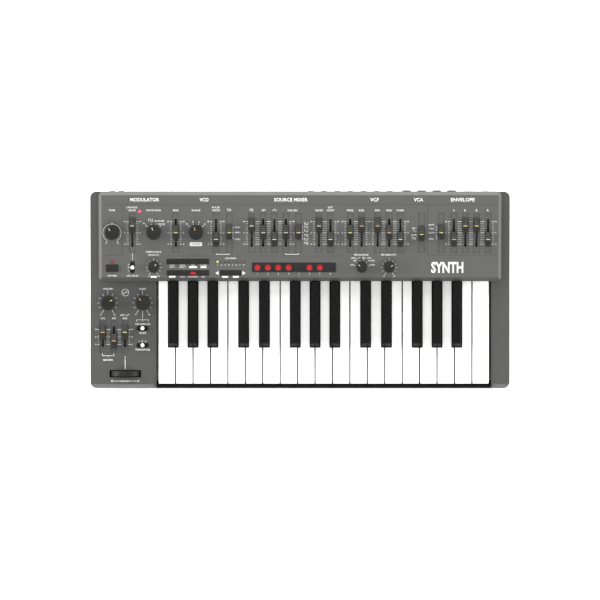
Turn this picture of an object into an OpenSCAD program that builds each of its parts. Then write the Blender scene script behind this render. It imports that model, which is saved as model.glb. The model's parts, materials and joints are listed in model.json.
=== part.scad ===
// Compact keyboard synthesizer: 32 hinged keys in a moulded case, a sloping
// control panel with slide and rotary controls, and a left deck with a bender.
// Origin: centre of the footprint, at the plane the feet stand on.
// +X to the player's right, +Y to the rear wall, +Z up. Millimetres.

/* [Case] */
// Width of the case
case_w = 565; // [563:1:572]
// Depth of the case, front lip to rear wall
case_d = 265; // [265:0.5:266]
// Radius of the case's upright corners
corner_r = 8; // [6:0.5:12]
// Wall thickness of the moulded shells
wall = 2.5; // [2.2:0.1:2.8]
// Height of the parting line between the two case halves
split_z = 30; // [28:0.5:31]
// Height of the rubber feet
foot_h = 4; // [3:0.5:4]

/* [Keys] */
// Pitch of the white keys
key_pitch = 23.5; // [23.3:0.05:23.5]
// Gap between neighbouring white keys
key_gap = 1.2; // [1:0.1:1.6]
// Width of a black key at its base
black_w = 13.4; // [13:0.1:13.6]
// Width of a black key at its top
black_top_w = 9; // [8.5:0.1:10]
// Height of a black key above the white keys
black_rise = 11.5; // [10:0.1:11.5]

/* [Panel] */
// Slope of the control panel, in degrees
slope = 8; // [7.9:0.05:8.1]
// Length of the slots for the long slide controls
slot_l = 38; // [37:0.5:39]
// Width of the slots for the slide controls
slot_w = 3; // [2.8:0.1:3.2]
// Distance that a raised or lowered slider stands from a centred one
slider_set = 9.1; // [8:0.1:10]
// Radius of the large panel knobs
knob_big_r = 9.7; // [9.5:0.1:10.5]
// Radius of the small panel knobs
knob_small_r = 7.3; // [7:0.1:7.5]
// Height of the knobs
knob_h = 12; // [10:0.5:12]

/* [Hidden] */
$fn = 48;
nut_out = 2;
front_y = -(case_d + nut_out) / 2;
rear_y = front_y + case_d;
half_w = case_w / 2;
deck_z = 51;
lip_z = 36;
front_top = 38;
front_bevel = 5.5;
floor_z = foot_h;
floor_t = 3;
seam = 0.2;
strip_gap = 0.15;
// How far a cut reaches below and above the face it opens.
cut_under = 8;
cut_over = 1;

// Sloping panel: outer face height above y, and the plane it stands on.
panel_y0 = 11;
panel_z0 = 65.3;
panel_rise = 14;
panel_t = 3;
panel_half_w = half_w - 11.5;
panel_bevel = 5;
panel_corner_r = 6;
side_bevel = 4;
// Height of the panel's outer face above a point of the footprint.
function panel_z(y) = panel_z0 + (y - panel_y0) * tan(slope);
// Height of the case strip beside the panel.
function strip_z(y) = panel_z(y) - panel_rise / cos(slope);

// Keyboard: white keys run F to C, 19 white and 13 black.
whites = 19;
key_x0 = -191.2;
well_x0 = key_x0 - 2.3;
well_x1 = key_x0 + whites * key_pitch + 2.3;
key_front = front_y + 6.5;
key_back = panel_y0 + 1;
key_top = 53.5;
key_bottom = 35.5;
key_skin = 1.6;
black_front = front_y + 55.5;
black_back = panel_y0 - 0.8;
black_bottom = 40;
black_top = key_top + black_rise;
key_neck_back = 0.7;
arm_w = 9;
arm_end = 90;
arm_z0 = 36.5;
arm_z1 = 47.5;
pivot_y = 78;
pivot_z = 42;
rod_r = 2;
rod_gap = 0.1;
LETTERS = ["f", "g", "a", "b", "c", "d", "e"];
HAS_SHARP = [true, true, true, false, true, true, false];
SHARP_SHIFT = [-3.2, 0, 3.2, 0, -2.3, 2.3, 0];
function octave(i) = 2 + floor((i + 3) / 7);
function white_name(i) = str("key_", LETTERS[i % 7], octave(i));
function black_name(i) = str("key_", LETTERS[i % 7], "s", octave(i));
function sharp_after(i) = i >= 0 && i < whites - 1 && HAS_SHARP[i % 7];
sharps = [for (i = [0:whites - 1]) if (sharp_after(i)) i];
function white_x(i) = key_x0 + i * key_pitch;
function sharp_x(i) = white_x(i + 1) + SHARP_SHIFT[i % 7];
notch_w = black_w + 1.4;
// Keybed: plate, front rail and return springs.
sheet_t = 1.5;
plate_z = 14;
keybed_back = 96;
rail_z = 21;
rail_y0 = front_y + 11;
rail_y1 = front_y + 25;
spring_y = 86;
function neck_left(i) =
    sharp_after(i - 1) ? sharp_x(i - 1) + notch_w / 2 : white_x(i) + key_gap / 2;
function neck_right(i) =
    sharp_after(i) ? sharp_x(i) - notch_w / 2 : white_x(i + 1) - key_gap / 2;
function arm_x(i) = (neck_left(i) + neck_right(i)) / 2;

// Slide controls on the panel: [x, set], where set is 1 up, 0 middle, -1 down.
slide_y = 75.9;
sliders = [[-225.5, 1], [-167, 0], [-113, -1], [-65, 1], [-49.5, 0], [-34.5, -1],
    [-19, 0], [25.5, 1], [41, -1], [67.5, 0], [83, 1], [104.5, 1], [120, 0],
    [135, -1], [207, -1], [222.5, 1], [237.5, 1], [253, -1]];
selectors = [[-95, 0], [-2, 0], [163.5, -2.4], [190, 0]];
// Distance of a centred cap above the middle of its slot.
cap_rest = 1.2;
recess_l = 54;
recess_w = 9.2;
recess_deep = 0.8;
selector_slot_l = 13;

// Slide controls on the left deck, with a shorter travel.
bend_y = -63.8;
bend_sliders = [[-266, 5.8], [-251, -5.8], [-236, 5.8]];
bend_slot_l = 28;
bend_recess_l = 43;
// Slide cap: half length, half width, height of its ends and of its ridge.
cap_half_l = 9.8;
cap_half_w = 3.7;
cap_end = 4.4;
cap_ridge = 8.2;
lever = [1.6, 4];
lever_deep = 9;
// Tops of the potentiometers and of their board, below the outer face.
pot_top = -4;
board_top = -11;
board_t = 1.6;

// Knobs: [name, x, y, radius, angle its pointer is set to, on the panel].
large_row_y = 77;
small_row_y = 30.6;
KNOBS = [
    ["knob_tune", -253, large_row_y, knob_big_r, 34, true],
    ["knob_waveform", -197, large_row_y, knob_big_r, 15, true],
    ["knob_range", -140, large_row_y, knob_big_r, 15, true],
    ["knob_tempo", -197, small_row_y, knob_small_r, -36, true],
    ["knob_fm_source", 83, small_row_y, knob_small_r, 45, true],
    ["knob_fm_amount", 120, small_row_y, knob_small_r, -57, true],
    ["knob_volume", -259.3, -18.4, knob_big_r - 0.4, -57, false],
    ["knob_glide", -212.3, -18.4, knob_big_r - 0.4, 35, false]];
shaft_r = 2.9;
shaft_deep = 9.5;
knob_hole_r = 4.2;
knob_lift = 0.7;

// Toggle switches: oval slot, lever pivot below the surface, round tip above.
lfo_toggle = [-225.5, 29.9];
deck_toggle_x = -212.3;
deck_toggles_y = [-52.6, -75.4];
oval_l = 17.6;
oval_w = 6.4;
toggle_pivot = -6;
toggle_pin_r = 1;
tip_r = 2.5;
tip_h = 5;

// Bender wheel on the left deck.
bender = [-235.7, -113.9];
bender_z = 38.5;
bender_r = 22;
bender_w = 7.4;
bender_slot = [42.4, 9.8];
bender_fin = 3;
bender_axle_r = 3;
bender_cheek_y = 8;

// Buttons on the panel.
function_x = -151;
function_rows_y = [37.3, 22];
button_pitch = 14;
function_h = 6.8;
location_x = -93.6;
step_x = -8.3;
step_y = 29.5;
step_h = 12.2;
button_gap = 0.4;
window_gap = 0.6;
button_proud = 1.6;
button_deep = 7;
button_travel = 0.8;
power_travel = 2;
power_at = [-253, 28.3];
power_size = [16.2, 9.3];
power_proud = 2.2;
led_r = 1.5;
led_gap = 0.15;
led_x0 = -111;
led_pitch = 5.03;
led_y = 37.1;
power_led = [-253, 36.6];

// Rear sockets, all on one height.
socket_z = 45;
mini_xs = [-253.5, -240.8, for (k = [0:6]) 14.5 + k * 17.8];
phone_xs = [for (k = [0:3]) 143.8 + k * 20.3];
din_xs = [-200, -172, -144];
usb_x = 228;
dc_x = 250.5;
dc_bush_r = 4.5;
phone_bore_r = 3.25;
phone_bush_r = 4.3;
mini_bush_r = 2.7;
din_bush_r = 8;
mini_bore_r = 1.8;
din_bore_r = 7.2;
mini_nut_r = 3.7;
mini_nut_l = 1.2;
phone_nut_r = 5.9;
bush_gap = 0.2;
usb_half_w = 6;
usb_half_h = 5.5;
usb_wall = 1.4;
usb_deep = 12;

// Screws through the bottom case: [x, y].
screw_at = [for (x = [-268, 268], y = [-118, 22, 112]) [x, y], [-100, 125], [131.3, 125]];
boss_top = 48.5;
boss_r = 5;
post_r = 4.4;
screw_r = 1.5;
screw_hole_r = 1.8;
pilot_r = 1.6;
head_r = 3.1;
head_h = 2.2;
head_well_r = 3.4;
head_well_h = 2.6;
foot_r = 9;
foot_at = [for (x = [-240, 240], y = [-112, 108]) [x, y]];

KNOB_NAMES = [for (k = KNOBS) k[0]];
WHITE_NAMES = [for (i = [0:whites - 1]) white_name(i)];
BLACK_NAMES = [for (i = sharps) black_name(i)];

// ---- Helpers ----------------------------------------------------------------

// A [y, z] outline drawn out along X.
module along_x(x0, x1, points)
    translate([x0, 0, 0]) rotate([90, 0, 90]) linear_extrude(x1 - x0) polygon(points);

// An [x, z] outline drawn out along Y.
module along_y(y0, y1, points)
    translate([0, y1, 0]) rotate([90, 0, 0]) linear_extrude(y1 - y0) polygon(points);

// A box from its low corner to its high corner.
module block(a, b)
    translate(a) cube(b - a);

// A cylinder along Y from y0 to y1.
module rod_y(x, y0, y1, z, r)
    translate([x, y1, z]) rotate([90, 0, 0]) cylinder(r = r, h = y1 - y0);

// A box centred on the origin in X and Y.
module slab(size, z0, z1)
    block([-size[0] / 2, -size[1] / 2, z0], [size[0] / 2, size[1] / 2, z1]);

// A round or rectangular cut down through a face.
module round_cut(r) translate([0, 0, -cut_under]) cylinder(r = r, h = cut_under + cut_over);
module square_cut(size) slab(size, -cut_under, cut_over);

// Children drawn on the panel's outer face at a point of the footprint.
module on_panel(x, y)
    translate([x, y, panel_z(y)]) rotate([slope, 0, 0]) children();

// Children drawn on the flat deck.
module on_deck(x, y)
    translate([x, y, deck_z]) children();

// Rectangle from -x to x and y0 to y1 with round corners.
module rounded(x, y0, y1, r) {
    for (cx = [r - x, x - r], cy = [y0 + r, y1 - r]) translate([cx, cy]) circle(r);
    translate([-x, y0 + r]) square([2 * x, y1 - y0 - 2 * r]);
    translate([r - x, y0]) square([2 * (x - r), y1 - y0]);
}

// The case's plan, taken in by inset.
module plan(inset = 0)
    rounded(half_w - inset, front_y + inset, rear_y - inset, corner_r - inset);

// Oval cut for a toggle, its long side along Y.
module oval_cut()
    translate([0, 0, -cut_under]) linear_extrude(cut_under + cut_over) {
        square([oval_w, oval_l - oval_w], center = true);
        for (y = [-1, 1]) translate([0, y * (oval_l - oval_w) / 2]) circle(oval_w / 2);
    }

// ---- Case -------------------------------------------------------------------

// Lower tray with its screw bosses.
module bottom_case() color([0.2, 0.2, 0.2]) difference() {
    union() {
        difference() {
            translate([0, 0, floor_z]) linear_extrude(split_z - floor_z) plan();
            translate([0, 0, floor_z + floor_t]) linear_extrude(split_z) plan(wall);
        }
        for (p = screw_at)
            translate([p[0], p[1], floor_z + 1]) cylinder(r = boss_r, h = split_z - floor_z - 2);
    }
    for (p = screw_at) translate([p[0], p[1], 0]) {
        cylinder(r = screw_hole_r, h = split_z);
        cylinder(r = head_well_r, h = floor_z + head_well_h);
    }
}

// Side outline of the upper case, taken in by t.
module top_body(t) {
    base_z = split_z + seam - (t > 0 ? 1 : 0);
    intersection() {
        along_x(-half_w + t, half_w - t, [
            [front_y + t, base_z],
            [front_y + t, front_top - t / 4],
            [front_y + front_bevel + t * 0.7, deck_z - t],
            [panel_y0 - 1, deck_z - t],
            [rear_y - t, strip_z(rear_y - t) - strip_gap - t],
            [rear_y - t, base_z]]);
        translate([0, 0, split_z - 2]) linear_extrude(60) plan(t);
    }
}

// Recess and slot of one slide control, cut down into a face.
module slide_cut(slot, recess) {
    slab([recess_w, recess], -recess_deep, cut_over);
    square_cut([slot_w, slot]);
}

// Round hole through the rear wall for a socket.
module wall_hole(x, r) rod_y(x, rear_y - 6, rear_y + 1, socket_z, r);

// Walls that carry the bender's shaft below the deck.
module bender_cheeks()
    for (s = [-1, 1]) difference() {
        y = bender[1] + s * bender_cheek_y;
        block([bender[0] - 7, y - 1.25, bender_z - 6],
            [bender[0] + 7, y + 1.25, deck_z - wall + 0.5]);
        rod_y(bender[0], y - 3, y + 3, bender_z, bender_axle_r + 0.1);
    }

// A block round the USB connector's middle, wider than its body by gap.
module usb_block(gap, y0, y1)
    block([usb_x - usb_half_w - gap, y0, socket_z - usb_half_h - gap],
        [usb_x + usb_half_w + gap, y1, socket_z + usb_half_h + gap]);

// Upper case: left deck, right cheek, front lip, strips and rear wall.
module top_case() color([0.4, 0.4, 0.4]) difference() {
    union() {
        difference() {
            top_body(0);
            top_body(wall);
            block([well_x0, front_y - 1, lip_z], [well_x1, panel_y0 + 6, 80]);
            along_x(-panel_half_w + 4, panel_half_w - 4, [
                [panel_y0 + 5, 40], [panel_y0 + 5, 80],
                [rear_y - wall - 1.5, 90], [rear_y - wall - 1.5, 40]]);
        }
        for (x = [well_x0 - wall, well_x1])
            block([x, front_y + wall - 0.5, split_z + seam],
                [x + wall, panel_y0 + 5, deck_z - 1]);
        block([well_x0, front_y + 1, lip_z - 3], [well_x1, front_y + 5, lip_z]);
        bender_cheeks();
        for (p = screw_at)
            translate([p[0], p[1], split_z + seam]) cylinder(r = post_r, h = boss_top - split_z);
    }
    for (p = screw_at)
        translate([p[0], p[1], split_z - 1]) cylinder(r = pilot_r, h = boss_top - split_z - 3);
    for (k = KNOBS) if (!k[5]) on_deck(k[1], k[2]) round_cut(knob_hole_r);
    for (s = bend_sliders) on_deck(s[0], bend_y) slide_cut(bend_slot_l, bend_recess_l);
    for (y = deck_toggles_y) on_deck(deck_toggle_x, y) rotate(90) oval_cut();
    on_deck(bender[0], bender[1]) slab(bender_slot, -wall - 1.5, cut_over);
    for (x = phone_xs) wall_hole(x, phone_bush_r + bush_gap);
    for (x = mini_xs) wall_hole(x, mini_bush_r + bush_gap);
    for (x = din_xs) wall_hole(x, din_bush_r + bush_gap);
    wall_hole(dc_x, dc_bush_r + bush_gap);
    usb_block(bush_gap, rear_y - 6, rear_y + 1);
}

// Raised panel as a closed body, taken in by t on its five outer sides.
module panel_body(t) intersection() {
    linear_extrude(100) rounded(panel_half_w - t, panel_y0 + t, rear_y - t, panel_corner_r - t);
    along_x(-half_w, half_w, [
        [panel_y0 + t, t > 0 ? 40 : strip_z(panel_y0)],
        [panel_y0 + t, panel_z0 - panel_bevel - t * 0.3],
        [panel_y0 + panel_bevel + t * 0.45, panel_z(panel_y0 + panel_bevel + t * 0.45) - t],
        [rear_y - panel_bevel - t * 0.3, panel_z(rear_y - panel_bevel - t * 0.3) - t],
        [rear_y - t, panel_z(rear_y - panel_bevel) - 4 - t * 0.5],
        [rear_y - t, t > 0 ? 40 : strip_z(rear_y)]]);
    translate([0, panel_y0, panel_z0]) rotate([slope, 0, 0])
        along_y(-40, case_d, [
            [-panel_half_w + t, -60], [-panel_half_w + t, -panel_bevel - t * 0.3],
            [-panel_half_w + side_bevel + t * 0.5, -t],
            [panel_half_w - side_bevel - t * 0.5, -t],
            [panel_half_w - t, -panel_bevel - t * 0.3], [panel_half_w - t, -60]]);
}

// Window for a row of buttons.
module button_window(count, h)
    square_cut([count * button_pitch + window_gap, h + window_gap]);

// Raised control panel with every slot, window and hole.
module control_panel() color([0.42, 0.42, 0.41]) difference() {
    panel_body(0);
    panel_body(panel_t);
    block([well_x0, panel_y0 - 1, 40], [well_x1, panel_y0 + 8, 56]);
    for (s = sliders) on_panel(s[0], slide_y) slide_cut(slot_l, recess_l);
    for (s = selectors) on_panel(s[0], slide_y) {
        slab([recess_w, recess_l], -recess_deep, cut_over);
        translate([0, cap_rest + s[1], 0]) square_cut([slot_w, selector_slot_l]);
    }
    for (k = KNOBS) if (k[5]) on_panel(k[1], k[2]) round_cut(knob_hole_r);
    on_panel(lfo_toggle[0], lfo_toggle[1]) oval_cut();
    on_panel(power_at[0], power_at[1]) square_cut(power_size + [window_gap, window_gap]);
    for (y = function_rows_y) on_panel(function_x, y) button_window(4, function_h);
    on_panel(location_x, function_rows_y[1]) button_window(2, function_h);
    on_panel(step_x, step_y) button_window(8, step_h);
    for (k = [0:7]) on_panel(led_x0 + k * led_pitch, led_y) round_cut(led_r + led_gap);
    on_panel(power_led[0], power_led[1]) round_cut(led_r + led_gap);
}

// ---- Keyboard ---------------------------------------------------------------

// White key: hollow cap with a neck between the black keys, and a hinged arm.
module white_key(i) color([0.95, 0.95, 0.93]) {
    x0 = white_x(i) + key_gap / 2;
    x1 = white_x(i + 1) - key_gap / 2;
    n0 = neck_left(i);
    n1 = neck_right(i);
    shoulder = black_front - key_neck_back;
    roof = key_top - 2.4;
    difference() {
        union() {
            block([x0, key_front, key_bottom], [x1, shoulder, key_top]);
            block([n0, shoulder - 1, key_bottom], [n1, key_back, key_top]);
            block([arm_x(i) - arm_w / 2, key_back - 2, arm_z0],
                [arm_x(i) + arm_w / 2, arm_end, arm_z1]);
        }
        block([x0 + key_skin, key_front + key_skin, key_bottom - 1],
            [x1 - key_skin, shoulder - key_skin, roof]);
        block([n0 + key_skin, shoulder - 4, key_bottom - 1],
            [n1 - key_skin, key_back - key_skin, roof]);
        translate([arm_x(i) - arm_w, pivot_y, pivot_z]) rotate([0, 90, 0])
            cylinder(r = rod_r + rod_gap, h = 2 * arm_w);
    }
}

// Black key: tapered hollow cap and a hinged arm.
module black_key(i) color([0.07, 0.07, 0.07]) translate([sharp_x(i), 0, 0])
    difference() {
        union() {
            intersection() {
                along_y(black_front, black_back, [
                    [-black_w / 2, black_bottom], [-black_w / 2, key_top],
                    [-black_top_w / 2, black_top], [black_top_w / 2, black_top],
                    [black_w / 2, key_top], [black_w / 2, black_bottom]]);
                along_x(-black_w, black_w, [
                    [black_front, black_bottom], [black_front, key_top],
                    [black_front + 5.2, black_top], [black_back, black_top],
                    [black_back, black_bottom]]);
            }
            block([-arm_w / 2, black_back - 2, arm_z0], [arm_w / 2, arm_end, arm_z1]);
        }
        block([-black_w / 2 + 1.8, black_front + 3, black_bottom - 4],
            [black_w / 2 - 1.8, black_back - 2, key_top + 2]);
        translate([-arm_w, pivot_y, pivot_z]) rotate([0, 90, 0])
            cylinder(r = rod_r + rod_gap, h = 2 * arm_w);
    }

arm_centres = concat([for (i = [0:whites - 1]) arm_x(i)], [for (i = sharps) sharp_x(i)]);

// Places between key arms that carry a hinge bracket.
bracket_xs = [well_x0 + 1.2, for (i = [3, 6, 10, 13]) white_x(i + 1), well_x1 - 1.2];

// Return spring that pulls a key's tail down.
module key_spring(x) translate([x, spring_y, plate_z + sheet_t + 0.2]) difference() {
    cylinder(r = 2.6, h = arm_z0 - plate_z - sheet_t - 0.5, $fn = 24);
    translate([0, 0, -1]) cylinder(r = 1.9, h = arm_z0, $fn = 24);
}

// Pressed-steel keybed: plate, flanges, guide posts, brackets, rod, felt and springs.
module keybed() color([0.5, 0.5, 0.52]) {
    plate_top = plate_z + sheet_t;
    inner = plate_top - 0.5;
    difference() {
        union() {
            block([well_x0, front_y + 10, plate_z], [well_x1, keybed_back, plate_top]);
            for (x = [well_x0, well_x1 - sheet_t])
                block([x, front_y + 10, floor_z + floor_t], [x + sheet_t, keybed_back, inner]);
            block([well_x0, keybed_back - sheet_t, plate_z], [well_x1, keybed_back, 34]);
            block([well_x0, rail_y0, rail_z], [well_x1, rail_y1, rail_z + sheet_t]);
            for (y = [rail_y0, rail_y1 - sheet_t])
                block([well_x0, y, inner], [well_x1, y + sheet_t, rail_z + 1]);
            for (x = bracket_xs)
                block([x - 1, pivot_y - 6, inner], [x + 1, keybed_back - 1, pivot_z + 5]);
            for (i = [0:whites - 1]) guide(white_x(i) + key_pitch / 2, -101, 38);
            for (i = sharps) guide(sharp_x(i), -60, 43);
        }
        translate([well_x0 - 5, pivot_y, pivot_z]) rotate([0, 90, 0])
            cylinder(r = rod_r + 0.05, h = case_w);
    }
    translate([well_x0 + 0.1, pivot_y, pivot_z]) rotate([0, 90, 0])
        cylinder(r = rod_r, h = well_x1 - well_x0 - 0.2);
    // Felt strip that the key fronts land on.
    block([well_x0 + 3, rail_y0 + 1, rail_z + sheet_t + 0.1],
        [well_x1 - 3, rail_y1 - 1, rail_z + sheet_t + 2.8]);
    for (x = arm_centres) key_spring(x);
}

// Upright post inside a key cap that guides it.
module guide(x, y, top) block([x - 2, y - 3, plate_z + 1], [x + 2, y + 3, top]);

// ---- Electronics ------------------------------------------------------------

// Slide potentiometer below a face, with the groove its lever runs in.
module slide_pot(slot, body) difference() {
    slab([8.4, body], board_top + 0.05, pot_top);
    slab([2.6, slot], -9.6, 0);
}

// Rotary potentiometer with a bushing round the shaft.
module rotary_pot() difference() {
    union() {
        slab([15, 13], board_top + 0.05, pot_top);
        translate([0, 0, pot_top - 1]) cylinder(r = 3.8, h = 3.5);
    }
    translate([0, 0, -shaft_deep - 0.5]) cylinder(r = shaft_r + 0.1, h = shaft_deep + 2.5);
}

// Pin along X at the toggle's pivot.
module cross_pin(r, l)
    translate([-l / 2, 0, toggle_pivot]) rotate([0, 90, 0]) cylinder(r = r, h = l);

// Toggle body: a black plate under the oval, hollow for the lever's pivot.
module toggle_body() difference() {
    slab([8.4, 19], board_top + 0.05, pot_top + 0.8);
    slab([5.4, 13], -9.5, 0);
    cross_pin(toggle_pin_r + 0.05, 20);
}

// Round lamp standing from the board up to the face.
module lamp()
    translate([0, 0, board_top + 0.05]) cylinder(r = led_r, h = 0.4 - board_top, $fn = 24);

module circuit_boards() color([0.1, 0.3, 0.16]) {
    // Board below the sloping panel.
    translate([0, panel_y0, panel_z0]) rotate([slope, 0, 0])
        block([-262, 9, board_top - board_t], [262, 112, board_top]);
    for (s = sliders) on_panel(s[0], slide_y) slide_pot(slot_l, 46);
    for (s = selectors) on_panel(s[0], slide_y)
        translate([0, cap_rest + s[1], 0]) slide_pot(selector_slot_l, 22);
    for (k = KNOBS) if (k[5]) on_panel(k[1], k[2]) rotary_pot();
    on_panel(lfo_toggle[0], lfo_toggle[1]) toggle_body();
    for (k = [0:7]) on_panel(led_x0 + k * led_pitch, led_y) lamp();
    on_panel(power_led[0], power_led[1]) lamp();
    // Tact switches below the buttons.
    for (c = button_centres)
        on_panel(c[0], c[1]) slab([5, 5], board_top + 0.05, -button_deep - button_travel - 0.3);
    on_panel(power_at[0], power_at[1])
        slab([6, 6], board_top + 0.05, -button_deep - power_travel - 0.3);
    // Board below the left deck.
    block([-277, -96, deck_z + board_top - board_t], [-200, 3, deck_z + board_top]);
    for (s = bend_sliders) on_deck(s[0], bend_y) slide_pot(bend_slot_l, 36);
    for (k = KNOBS) if (!k[5]) on_deck(k[1], k[2]) rotary_pot();
    for (y = deck_toggles_y) on_deck(deck_toggle_x, y) rotate(90) toggle_body();
    // Key contact board with a rubber dome under each key.
    block([well_x0 + 4, -30, 22], [well_x1 - 4, -8, 23.6]);
    for (x = arm_centres) translate([x, -19, 23.65]) cylinder(r1 = 4, r2 = 2.5, h = 5.5, $fn = 24);
    // Main board and its larger chips.
    block([-262, 99, 10], [262, 118, 11.6]);
    for (x = [-150, -60, 30, 120]) block([x, 101, 11.65], [x + 15, 116, 14]);
    for (x = [-255, -170, 170, 255])
        translate([x, 108, floor_z + floor_t]) cylinder(r = 3, h = 10 - floor_z - floor_t - 0.05);
}

// ---- Rear sockets -----------------------------------------------------------

// Socket with a round bushing through the rear wall and a blind bore.
module round_socket(x, body, bush_r, bush_end, bore_r, bore_l) difference() {
    union() {
        block([x - body[0] / 2, rear_y - wall - 0.2 - body[1], socket_z - body[2] / 2],
            [x + body[0] / 2, rear_y - wall - 0.2, socket_z + body[2] / 2]);
        rod_y(x, rear_y - wall - 1, bush_end, socket_z, bush_r);
    }
    rod_y(x, bush_end - bore_l, bush_end + 1, socket_z, bore_r);
}

module rear_sockets() color([0.08, 0.08, 0.08]) {
    for (x = phone_xs)
        round_socket(x, [14, 26, 15], phone_bush_r, rear_y + nut_out - 0.1, phone_bore_r, 24);
    for (x = mini_xs)
        round_socket(x, [9, 15, 10], mini_bush_r, rear_y + mini_nut_l, mini_bore_r, 14);
    for (x = din_xs) round_socket(x, [20, 14, 20], din_bush_r, rear_y - 0.1, din_bore_r, 9);
    round_socket(dc_x, [10, 14, 11], dc_bush_r, rear_y + 0.8, 3.3, 9.5);
    rod_y(dc_x, rear_y - 9.6, rear_y - 1, socket_z, 1);
}

// Square USB connector with its contact tongue.
module usb_connector() color([0.75, 0.75, 0.76]) {
    difference() {
        usb_block(0, rear_y - usb_deep - 4, rear_y + 0.8);
        usb_block(-usb_wall, rear_y - usb_deep, rear_y + 2);
    }
    block([usb_x - 2.6, rear_y - usb_deep - 1, socket_z + 0.8],
        [usb_x + 2.6, rear_y - 2.5, socket_z + 2.8]);
}

// ---- Feet and fasteners -----------------------------------------------------

module feet() color([0.05, 0.05, 0.05])
    for (p = foot_at) translate([p[0], p[1], 0]) cylinder(r = foot_r, h = floor_z);

// Case screws, hexagon nuts of the large sockets and round nuts of the small.
module screws_and_nuts() color([0.6, 0.6, 0.62]) {
    for (p = screw_at) translate([p[0], p[1], floor_z + 0.3]) {
        difference() {
            cylinder(r = head_r, h = head_h);
            translate([0, 0, -0.5]) cylinder(r = 1, h = 1.6);
        }
        translate([0, 0, head_h - 0.2]) cylinder(r = screw_r, h = boss_top - floor_z - 10);
    }
    for (x = phone_xs) difference() {
        translate([x, rear_y + nut_out, socket_z]) rotate([90, 0, 0])
            cylinder(r = phone_nut_r, h = nut_out - 0.1, $fn = 6);
        rod_y(x, rear_y - 1, rear_y + 3, socket_z, phone_bush_r + 0.1);
    }
    for (x = mini_xs) difference() {
        rod_y(x, rear_y + 0.1, rear_y + mini_nut_l, socket_z, mini_nut_r);
        rod_y(x, rear_y - 1, rear_y + 3, socket_z, mini_bush_r + 0.1);
    }
}

// ---- Controls ---------------------------------------------------------------

// Slide cap with a high ridge in the middle, and the lever below it.
module slide_cap() {
    half = [[cap_half_l, -0.4], [cap_half_l, cap_end], [cap_half_l - 1.2, cap_end + 1],
        [2, cap_ridge - 1], [1.4, cap_ridge]];
    along_x(-cap_half_w, cap_half_w,
        concat(half, [for (k = [4:-1:0]) [-half[k][0], half[k][1]]]));
    slab(lever, -lever_deep, 0);
}

module slider_group(list, set) color([0.2, 0.2, 0.19])
    for (s = list) if (s[1] == set)
        on_panel(s[0], slide_y) translate([0, cap_rest + set * slider_set, 0]) slide_cap();

module selector_sliders() color([0.2, 0.2, 0.19])
    for (s = selectors) on_panel(s[0], slide_y) translate([0, cap_rest + s[1], 0]) slide_cap();

module bend_group(up) color([0.2, 0.2, 0.19])
    for (s = bend_sliders) if ((s[1] > 0) == up)
        on_deck(s[0], bend_y) translate([0, s[1], 0]) slide_cap();

// Knob with its shaft and a pointer groove, pointing along +Y before it is set.
module knob_shape(r, angle) rotate(angle) difference() {
    union() {
        translate([0, 0, knob_lift]) cylinder(r1 = r, r2 = r * 0.95, h = knob_h);
        translate([0, 0, -shaft_deep]) cylinder(r = shaft_r, h = shaft_deep + 1.5);
    }
    block([-0.5, r * 0.35, knob_lift + knob_h - 0.4], [0.5, r * 0.85, knob_lift + knob_h + 1]);
}

module knob(k) color([0.15, 0.15, 0.15])
    if (k[5]) on_panel(k[1], k[2]) knob_shape(k[3], k[4]);
    else on_deck(k[1], k[2]) knob_shape(k[3], k[4]);

// Toggle lever that tips along Y, on a short cross pin.
module toggle_shape() {
    translate([0, 0, toggle_pivot]) cylinder(r = 1.2, h = tip_h - toggle_pivot);
    translate([0, 0, tip_h]) sphere(tip_r);
    cross_pin(toggle_pin_r + 0.8, 4.6);
    cross_pin(toggle_pin_r, 7.8);
}

module toggle_lfo_rate() color("white") on_panel(lfo_toggle[0], lfo_toggle[1]) toggle_shape();

module toggles_glide_transpose() color("white")
    for (y = deck_toggles_y) on_deck(deck_toggle_x, y) rotate(90) toggle_shape();

// Bender: a wheel on a shaft along Y, with a finger fin at its top.
module bender_wheel() color([0.1, 0.1, 0.1]) {
    y0 = bender[1] - bender_w / 2;
    y1 = bender[1] + bender_w / 2;
    difference() {
        union() {
            rod_y(bender[0], y0, y1, bender_z, bender_r);
            block([bender[0] - bender_fin / 2, y0, bender_z + bender_r - 3],
                [bender[0] + bender_fin / 2, y1, bender_z + bender_r + bender_fin]);
            rod_y(bender[0], bender[1] - bender_cheek_y - 3, bender[1] + bender_cheek_y + 3,
                bender_z, bender_axle_r);
        }
        for (s = [-1, 1]) translate([bender[0], bender[1] + s * bender_w, bender_z])
            rotate([90, 0, 0]) difference() {
                cylinder(r = bender_r - 3, h = 2 * bender_w - 3, center = true);
                cylinder(r = 6, h = 3 * bender_w, center = true);
            }
    }
}

module power_button() color([0.1, 0.1, 0.1])
    on_panel(power_at[0], power_at[1]) slab(power_size, -button_deep, power_proud);

button_centres = concat(
    [for (y = function_rows_y, k = [0:3]) [function_x + (k - 1.5) * button_pitch, y]],
    [for (k = [0:1]) [location_x + (k - 0.5) * button_pitch, function_rows_y[1]]],
    [for (k = [0:7]) [step_x + (k - 3.5) * button_pitch, step_y]]);

// Function, location and step buttons.
module panel_buttons() color([0.09, 0.09, 0.09])
    for (c = button_centres) on_panel(c[0], c[1])
        slab([button_pitch - button_gap, c[1] == step_y ? step_h : function_h],
            -button_deep, button_proud);

// ---- Nodes ------------------------------------------------------------------

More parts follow.
